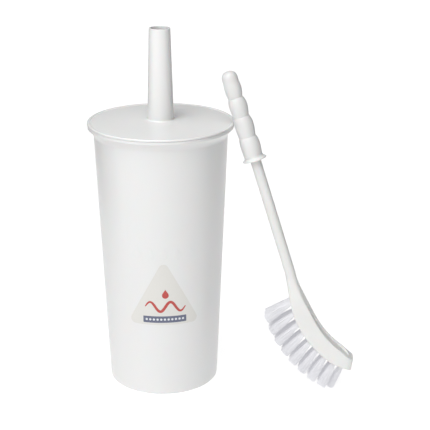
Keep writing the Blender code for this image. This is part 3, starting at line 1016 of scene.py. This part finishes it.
def handle_rings():
    """The handle's sections: tang, stem, neck, the head with its hollow, and its rounded end."""
    swells = sum(length for length, _, _ in GRIP_SWELLS)
    shoulder = GRIP_DOME + swells + COLLAR_LENGTH + GAP
    tang_rings = (
        (TANG_RADIUS - 0.5 * MM, 0.5 * MM, TANG_END),
        (TANG_RADIUS, 0.9 * MM, TANG_END + 0.5 * MM),
        (TANG_RADIUS, 0.9 * MM, shoulder),
    )
    stem_rings = (
        (0.4 * MM, shoulder),
        (0, shoulder + 0.4 * MM),
        (0, 130 * MM),
        (0, 165 * MM),
        (0, 195 * MM),
    )
    rings = [stem_ring(half, half, half - flat, depth) for half, flat, depth in tang_rings]
    for inset, depth in stem_rings:
        half_x = STEM_HALF_THICK - inset
        half_y = STEM_HALF_WIDTH - inset
        rings.append(stem_ring(half_x, half_y, STEM_CORNER - inset, depth))
    rings += [hollow_ring(0.028 * i, 0, 0.0) for i in range(11)]
    step = 0.004
    rings.append(hollow_ring(POCKET_FROM - step, 0, 0.0))
    for i in range(21):
        x = (1 - math.cos(math.pi * i / 20)) / 2
        depth = POCKET_DEPTH * math.sqrt(max(1 - abs(2 * x - 1) ** 8, 0.02))
        rings.append(hollow_ring(POCKET_FROM + (POCKET_TO - POCKET_FROM) * x, x, depth))
    rings.append(hollow_ring(POCKET_TO + step, 1, 0.0))
    rings += [hollow_ring(t, 1, 0.0) for t in (0.958, 0.967, 0.977, 0.987, 0.994)]
    end = head_matrix(1)
    half_x = HEAD_HALF_THICK[-1][1]
    for inset, back in ((0.0, 0.5), (0.15, 0.15), (0.5, 0.0)):
        less = inset * MM
        corner = HEAD_CORNER - less
        flat = section(half_x - less, HEAD_END_HALF_WIDTH - less, corner, CLOSED, 0.0)
        rings.append([end @ Vector((a, b, back * MM)) for a, b in flat])
    return [[BRUSH @ point for point in ring] for ring in rings]


TUFT_ROOT = 2.5 * MM
HOLE = 2.65 * MM
HOLE_DEPTH = 8 * MM
DRILL_OVER = 3 * MM
ANCHOR_DEPTH = 5.6 * MM


def tuft_names():
    names = [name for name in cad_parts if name.startswith("tuft_")]
    return sorted(name.removeprefix("tuft_") for name in names)


def tuft_place(name):
    """(matrix, length) of a tuft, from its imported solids.

    The matrix stands on the head's face, with +Z out along the bristles.
    """
    low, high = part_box(f"anchor_{name}")
    anchor = (low + high) / 2
    verts = [v.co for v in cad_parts[f"tuft_{name}"].data.vertices]
    far = max((co - anchor).length for co in verts)
    tips = [co for co in verts if (co - anchor).length > far - 0.5 * MM]
    tip = sum(tips, Vector()) / len(tips)
    out = (tip - anchor).normalized()
    across = BRUSH.to_3x3() @ Vector((0, 1, 0))
    along = across.cross(out).normalized()
    turn = Matrix((along, out.cross(along), out)).transposed().to_4x4()
    return Matrix.Translation(anchor + out * ANCHOR_DEPTH) @ turn, (tip - anchor).length - ANCHOR_DEPTH


def build_handle():
    handle = lofted("stem_and_head", handle_rings())
    drills = []
    for name in tuft_names():
        matrix, _ = tuft_place(name)
        deselect()
        bpy.ops.mesh.primitive_cylinder_add(vertices=20, radius=HOLE, depth=HOLE_DEPTH + DRILL_OVER)
        drill = start(f"drill_{name}")
        drill.matrix_world = matrix @ Matrix.Translation((0, 0, (DRILL_OVER - HOLE_DEPTH) / 2))
        drills.append(drill)
    drill = joined("drills", drills)
    set_down(drill)
    deselect()
    handle.select_set(True)
    bpy.context.view_layer.objects.active = handle
    cut = handle.modifiers.new("tuft_holes", "BOOLEAN")
    cut.operation = "DIFFERENCE"
    cut.solver = "EXACT"
    cut.object = drill
    bpy.ops.object.modifier_apply(modifier="tuft_holes")
    bpy.data.objects.remove(drill)
    smooth(handle)
    ready(handle, WHITE_MOULDING, "brush", "white_moulding", "brush_handle")


# Tufts: filaments fanned out from each hole and trimmed to an even brush

FILAMENT = 0.21 * MM
FILAMENTS = 150
FAN = 5.1 * MM
SHAPE_LENGTH = 30 * MM
SHAPE_STEPS = 5
ROOT_DEPTH = 6 * MM
TIP = 0.2 * MM
TIP_TAPER = 0.55
GOLDEN_ANGLE = 2.39996
BUNDLES = 3
FLOOR_GAP = 0.2 * MM


def filament(name, bow):
    """One five-sided bristle, bowed sideways, with a rounded tip."""
    deselect()
    bpy.ops.mesh.primitive_circle_add(
        vertices=5, radius=FILAMENT, fill_type="NGON", location=(0, 0, -ROOT_DEPTH)
    )
    piece = start(name)
    edit()
    bpy.ops.mesh.extrude_region_move(TRANSFORM_OT_translate={"value": (0, 0, ROOT_DEPTH)})
    before = 0.0
    for i in range(1, SHAPE_STEPS + 1):
        side = bow * math.sin(math.pi * i / SHAPE_STEPS)
        step = (side - before, 0, (SHAPE_LENGTH - TIP) / SHAPE_STEPS)
        bpy.ops.mesh.extrude_region_move(TRANSFORM_OT_translate={"value": step})
        before = side
    bpy.ops.mesh.extrude_region_move(TRANSFORM_OT_translate={"value": (0, 0, TIP)})
    bpy.ops.transform.resize(value=(TIP_TAPER, TIP_TAPER, 1))
    close_up()
    leave()
    set_down(piece)
    smooth(piece, angle=60)
    return piece


def bundle(name, kinds, draw):
    """A tuft: filaments packed in a sunflower pattern and fanned out."""
    strands = []
    for i in range(FILAMENTS):
        reach = math.sqrt((i + 0.5) / FILAMENTS)
        angle = i * GOLDEN_ANGLE + draw.uniform(-0.15, 0.15)
        root = (TUFT_ROOT - FILAMENT) * reach
        fan = math.atan2((FAN - TUFT_ROOT) * reach, SHAPE_LENGTH) + draw.gauss(0, 0.012)
        kind = draw.choice(kinds)
        strand = kind.copy()
        strand.data = kind.data.copy()
        bpy.context.scene.collection.objects.link(strand)
        strand.matrix_world = (
            Matrix.Translation((root * math.cos(angle), root * math.sin(angle), 0))
            @ Matrix.Rotation(angle, 4, "Z")
            @ Matrix.Rotation(fan, 4, "Y")
            @ Matrix.Rotation(draw.gauss(0, 0.015), 4, "X")
            @ Matrix.Rotation(draw.uniform(0, 2 * math.pi), 4, "Z")
            @ Matrix.Diagonal((1, 1, draw.uniform(0.975, 1.012), 1))
        )
        strands.append(strand)
    whole = joined(name, strands)
    set_down(whole)
    return whole


def build_tufts():
    draw = random.Random(7)
    kinds = [filament(f"filament_{i}", bow * MM) for i, bow in enumerate((0.0, 0.5, 0.9))]
    bundles = [bundle(f"bundle_{i}", kinds, draw) for i in range(BUNDLES)]
    for i, name in enumerate(tuft_names()):
        matrix, length = tuft_place(name)
        tuft = bundles[i % BUNDLES].copy()
        tuft.data = tuft.data.copy()
        bpy.context.scene.collection.objects.link(tuft)
        tuft.name = f"bristles_{name}"
        spin = Matrix.Rotation(draw.uniform(0, 2 * math.pi), 4, "Z")
        stretch = Matrix.Diagonal((1, 1, length / SHAPE_LENGTH, 1))
        tuft.matrix_world = Matrix.Identity(4)
        set_down(tuft, matrix @ spin @ stretch)
        for vert in tuft.data.vertices:
            vert.co.z = max(vert.co.z, FLOOR_GAP)
        ready(tuft, BRISTLE, "brush", "bristle_nylon", f"tuft_{name}")
        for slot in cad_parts[f"anchor_{name}"].material_slots:
            slot.material = ANCHOR_METAL
    for used in kinds + bundles:
        bpy.data.objects.remove(used)


# Stage: a pale floor, soft light from the front left and above, and the camera

CAMERA_PLACE = (0.0542, -1.239, 0.602)
CAMERA_TILT = math.radians(71.05)
CAMERA_LENS = 106.93
CAMERA_SENSOR = 36
CARD_HEIGHT = 0.6
LAMP_AIM = Vector((0, 0, 0.25))


def paper(name, tone, glow):
    made, tree, shader, _ = finish_of(name)
    shader_inputs = {
        "Base Color": (tone, tone, tone, 1),
        "Roughness": 0.9,
        "Specular IOR Level": 0.1,
        "Emission Color": (1, 1, 1, 1),
        "Emission Strength": glow,
    }
    feed(tree, shader, shader_inputs)
    return made


def sheet(name, finish, size, place=(0, 0, 0), turn=(0, 0, 0)):
    """A flat square of studio paper."""
    deselect()
    bpy.ops.mesh.primitive_plane_add(size=size, location=place, rotation=turn)
    made = start(name)
    made.data.materials.append(finish)
    return made


def build_stage():
    floor = sheet("studio_floor", paper("studio_floor_paper", tone=0.32, glow=0.85), size=12)
    upright = (math.pi / 2, 0, 0)
    backdrop_paper = paper("studio_backdrop_paper", tone=0.58, glow=0.0)
    backdrop = sheet("studio_backdrop", backdrop_paper, 8, (0, 4.5, 2.5), upright)
    backdrop.visible_camera = False
    # Dark cards at either side darken the turned shapes towards their edges. The backdrop and
    # the cards only light the set and show in its gloss, so they don't hide it from any side.
    sideways = (0, math.pi / 2, 0)
    card_paper = paper("studio_card_paper", tone=0.2, glow=0.0)
    for side, x, y in (("left", -0.5, 0.48), ("right", 0.6, 0.36)):
        card = sheet(f"studio_card_{side}", card_paper, 1.2, (x, y, CARD_HEIGHT), sideways)
        card.visible_camera = False


def hung(light, place, aim):
    """A lamp at its place, shining at aim."""
    lamp = bpy.data.objects.new(light.name, light)
    bpy.context.scene.collection.objects.link(lamp)
    lamp.location = place
    lamp.rotation_mode = "QUATERNION"
    lamp.rotation_quaternion = (place - aim).to_track_quat("Z", "Y")


def soft_light(name, azimuth, elevation, spread_angle, strength):
    """A wide soft light from far off, aimed at the set."""
    light = bpy.data.lights.new(name, "SUN")
    light.angle = math.radians(spread_angle)
    light.energy = strength
    a = math.radians(azimuth)
    e = math.radians(elevation)
    out = Vector((math.sin(a) * math.cos(e), -math.cos(a) * math.cos(e), math.sin(e)))
    hung(light, out, aim=Vector((0, 0, 0)))


def near_light(name, place, size, power):
    """A square lamp close by, so that its light falls off down the set."""
    light = bpy.data.lights.new(name, "AREA")
    light.shape = "SQUARE"
    light.size = size
    light.energy = power
    hung(light, Vector(place), aim=LAMP_AIM)


def build_camera():
    camera = bpy.data.cameras.new("camera")
    camera.lens = CAMERA_LENS
    camera.sensor_width = CAMERA_SENSOR
    seen = bpy.data.objects.new("camera", camera)
    bpy.context.scene.collection.objects.link(seen)
    seen.location = CAMERA_PLACE
    seen.rotation_euler = (CAMERA_TILT, 0, 0)
    bpy.context.scene.camera = seen


def build_sky(strength):
    """A dim white sky that lights the set, and looks as pale as the floor."""
    world = bpy.data.worlds.new("studio_sky")
    world.use_nodes = True
    tree = world.node_tree
    path = node(tree, "ShaderNodeLightPath", (-600, 0))
    seen = spread(tree, path.outputs["Is Camera Ray"], strength, 1.0, (-300, 0))
    feed(tree, tree.nodes["Background"], {"Color": (1, 1, 1, 1), "Strength": seen})
    bpy.context.scene.world = world


build_canister()
build_label_film()
build_red_print()
build_bar()
build_dots()
build_raised_drops()
build_lid()
build_grip()
build_handle()
build_tufts()
build_stage()
build_sky(strength=0.1)
soft_light("key_light", azimuth=-8, elevation=25, spread_angle=45, strength=0.45)
near_light("lamp_light", place=(-0.3, -0.55, 0.75), size=0.45, power=1.4)
soft_light("top_light", azimuth=-32, elevation=64, spread_angle=60, strength=2.2)
build_camera()
bpy.context.scene.view_settings.view_transform = "Standard"
